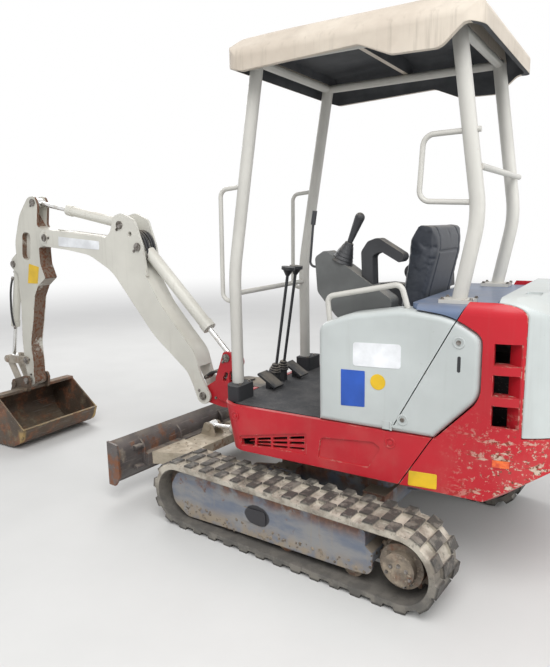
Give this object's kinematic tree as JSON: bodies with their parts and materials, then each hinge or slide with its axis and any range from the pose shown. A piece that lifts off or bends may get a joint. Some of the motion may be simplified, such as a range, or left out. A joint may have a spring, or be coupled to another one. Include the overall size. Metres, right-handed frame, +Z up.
{
  "type": "mini excavator",
  "caption": "compact tracked digging machine with a canopy, dozer blade, swinging boom, arm and smooth-lipped bucket",
  "frame": {"origin": "on the ground under the slew axis", "axes": "+X ahead of the upper structure, +Y its left side, +Z up"},
  "size_m": [4.02, 1.5378, 2.3683],
  "materials": {
    "chrome_rod": "hard chrome",
    "dark_plastic": "black plastic and rubber",
    "dark_steel": "dark chassis paint",
    "engine_iron": "plain iron block",
    "floor_rubber": "dusty black rubber mat",
    "frame_steel": "worn blue-grey paint with rust",
    "grey_paint": "blue-grey enamel",
    "grey_plastic": "dark grey textured plastic",
    "lamp_plastic": "orange-red lens",
    "light_paint": "light grey enamel",
    "pin_steel": "greasy steel",
    "post_paint": "off-white enamel on tube",
    "red_paint": "red enamel, scuffed",
    "roof_plastic": "weathered cream moulding",
    "seat_vinyl": "black vinyl",
    "track_rubber": "dusty black rubber",
    "white_paint": "off-white machine paint, scuffed",
    "worn_steel": "rusty worn steel with dried mud"
  },
  "bodies": {
    "root": {"undercarriage_frame": "frame_steel", "slew_ring_lower": "dark_steel", "track_frame_left": "frame_steel", "track_frame_right": "frame_steel", "rollers_left": "worn_steel", "rollers_right": "worn_steel", "final_drive_left": "worn_steel", "final_drive_right": "worn_steel", "track_left": "track_rubber", "track_right": "track_rubber"},
    "blade": {"blade_board": "worn_steel", "blade_wing_left": "worn_steel", "blade_wing_right": "worn_steel", "blade_arms": "worn_steel"},
    "blade_cylinder": {"blade_cylinder_barrel": "white_paint"},
    "blade_rod": {"blade_cylinder_rod": "chrome_rod"},
    "upper": {"slew_ring_upper": "dark_steel", "upper_frame": "dark_steel", "floor_mat": "floor_rubber", "skirt_left": "red_paint", "skirt_right": "red_paint", "counterweight": "red_paint", "side_cover_left": "light_paint", "side_cover_right": "light_paint", "top_cover": "grey_paint", "engine_block": "engine_iron", "seat_base": "dark_plastic", "seat_cushion": "seat_vinyl", "seat_back": "seat_vinyl", "console_right": "dark_plastic", "console_right_controls": "dark_plastic", "travel_levers": "dark_plastic", "canopy_frame": "post_paint", "post_feet": "floor_rubber", "canopy_roof": "roof_plastic", "cover_handrail": "post_paint", "rear_lamps": "lamp_plastic"},
    "side_door": {"side_door": "light_paint"},
    "rear_hood": {"rear_hood": "light_paint"},
    "console_left": {"console_left": "grey_plastic", "console_left_controls": "dark_plastic"},
    "swing": {"swing_bracket": "red_paint", "bracket_pins": "pin_steel"},
    "boom": {"boom": "white_paint", "boom_pins": "pin_steel"},
    "boom_cylinder": {"boom_cylinder_barrel": "white_paint"},
    "boom_rod": {"boom_cylinder_rod": "chrome_rod"},
    "arm": {"arm": "white_paint", "arm_pins": "pin_steel"},
    "arm_cylinder": {"arm_cylinder_barrel": "white_paint"},
    "arm_rod": {"arm_cylinder_rod": "chrome_rod"},
    "bucket": {"bucket": "worn_steel"},
    "bucket_cylinder": {"bucket_cylinder_barrel": "white_paint"},
    "bucket_rod": {"bucket_cylinder_rod": "chrome_rod"},
    "rocker": {"rocker_links": "white_paint"},
    "push": {"push_link": "white_paint"}
  },
  "joints": [
    {"name": "slew", "type": "hinge", "parent": "root", "child": "upper", "pos_m": [0, 0, 0.372], "axis": [0, 0, 1], "continuous": true},
    {"name": "boom_swing", "type": "hinge", "parent": "upper", "child": "swing", "pos_m": [0.69, 0, 0.55], "axis": [0, 0, 1], "range_deg": [-50, 75]},
    {"name": "boom_lift", "type": "hinge", "parent": "swing", "child": "boom", "pos_m": [0.975, 0, 0.529], "axis": [0, -1, 0], "range_deg": [-72, 27]},
    {"name": "boom_cylinder_turn", "type": "hinge", "parent": "boom", "child": "boom_cylinder", "pos_m": [1.439, 0, 1.411], "axis": [0, -1, 0], "range_deg": [-2.12, 4.82]},
    {"name": "boom_rod_slide", "type": "slide", "parent": "boom_cylinder", "child": "boom_rod", "axis": [-0.7071, 0, -0.7071], "range_m": [-0.13153, 0.34907]},
    {"name": "arm_turn", "type": "hinge", "parent": "boom", "child": "arm", "pos_m": [2.3, 0, 1.47], "axis": [0, 1, 0], "range_deg": [-54, 50]},
    {"name": "arm_cylinder_turn", "type": "hinge", "parent": "boom", "child": "arm_cylinder", "pos_m": [1.579, 0, 1.545], "axis": [0, 1, 0], "range_deg": [-8.98, 8.36]},
    {"name": "arm_rod_slide", "type": "slide", "parent": "arm_cylinder", "child": "arm_rod", "axis": [0.981, 0, 0.1939], "range_m": [-0.19786, 0.18328]},
    {"name": "bucket_curl", "type": "hinge", "parent": "arm", "child": "bucket", "pos_m": [2.618, 0, 0.429], "axis": [0, 1, 0], "range_deg": [-65, 85]},
    {"name": "rocker_turn", "type": "hinge", "parent": "arm", "child": "rocker", "pos_m": [2.645, 0, 0.575], "axis": [0, 1, 0], "range_deg": [-47.02, 61.33]},
    {"name": "push_link_turn", "type": "hinge", "parent": "bucket", "child": "push", "pos_m": [2.77, 0, 0.385], "axis": [0, 1, 0], "range_deg": [-64.17, 49.19]},
    {"name": "bucket_cylinder_turn", "type": "hinge", "parent": "arm", "child": "bucket_cylinder", "pos_m": [2.705, 0, 1.283], "axis": [0, 1, 0], "range_deg": [-4.77, 6.08]},
    {"name": "bucket_rod_slide", "type": "slide", "parent": "bucket_cylinder", "child": "bucket_rod", "axis": [0.224, 0, -0.9746], "range_m": [-0.15851, 0.20698]},
    {"name": "blade_lift", "type": "hinge", "parent": "root", "child": "blade", "pos_m": [0.46814, -0.04178, 0.205], "axis": [-0.0889, -0.996, 0], "range_deg": [-24, 8]},
    {"name": "blade_cylinder_turn", "type": "hinge", "parent": "root", "child": "blade_cylinder", "pos_m": [0.39344, -0.03511, 0.345], "axis": [-0.0889, -0.996, 0], "range_deg": [-20.81, 7.27]},
    {"name": "blade_rod_slide", "type": "slide", "parent": "blade_cylinder", "child": "blade_rod", "axis": [0.9918, -0.0885, -0.0919], "range_m": [-0.0177, 0.05111]},
    {"name": "side_door_hinge", "type": "hinge", "parent": "upper", "child": "side_door", "pos_m": [-0.372, 0.4953, 0.9], "axis": [0, 0, -1], "range_deg": [0, 90]},
    {"name": "rear_hood_hinge", "type": "hinge", "parent": "upper", "child": "rear_hood", "pos_m": [-0.778, 0, 1.227], "axis": [0, 1, 0], "range_deg": [0, 60]},
    {"name": "console_tilt", "type": "hinge", "parent": "upper", "child": "console_left", "pos_m": [-0.29, 0.32, 1.15], "axis": [0, 1, 0], "range_deg": [0, 28]}
  ],
  "couplings": [
    {"joint": "boom_cylinder_turn", "follows": "boom_lift", "ratio": -0.059961},
    {"joint": "boom_rod_slide", "follows": "boom_lift", "m_per_rad": -0.27698},
    {"joint": "arm_cylinder_turn", "follows": "arm_turn", "ratio": 0.15712},
    {"joint": "arm_rod_slide", "follows": "arm_turn", "m_per_rad": 0.20888},
    {"joint": "rocker_turn", "follows": "bucket_curl", "ratio": 0.71562},
    {"joint": "push_link_turn", "follows": "bucket_curl", "ratio": -0.74903},
    {"joint": "bucket_cylinder_turn", "follows": "bucket_curl", "ratio": 0.065682},
    {"joint": "bucket_rod_slide", "follows": "bucket_curl", "m_per_rad": 0.13884},
    {"joint": "blade_cylinder_turn", "follows": "blade_lift", "ratio": 0.84624},
    {"joint": "blade_rod_slide", "follows": "blade_lift", "m_per_rad": -0.11963}
  ]
}
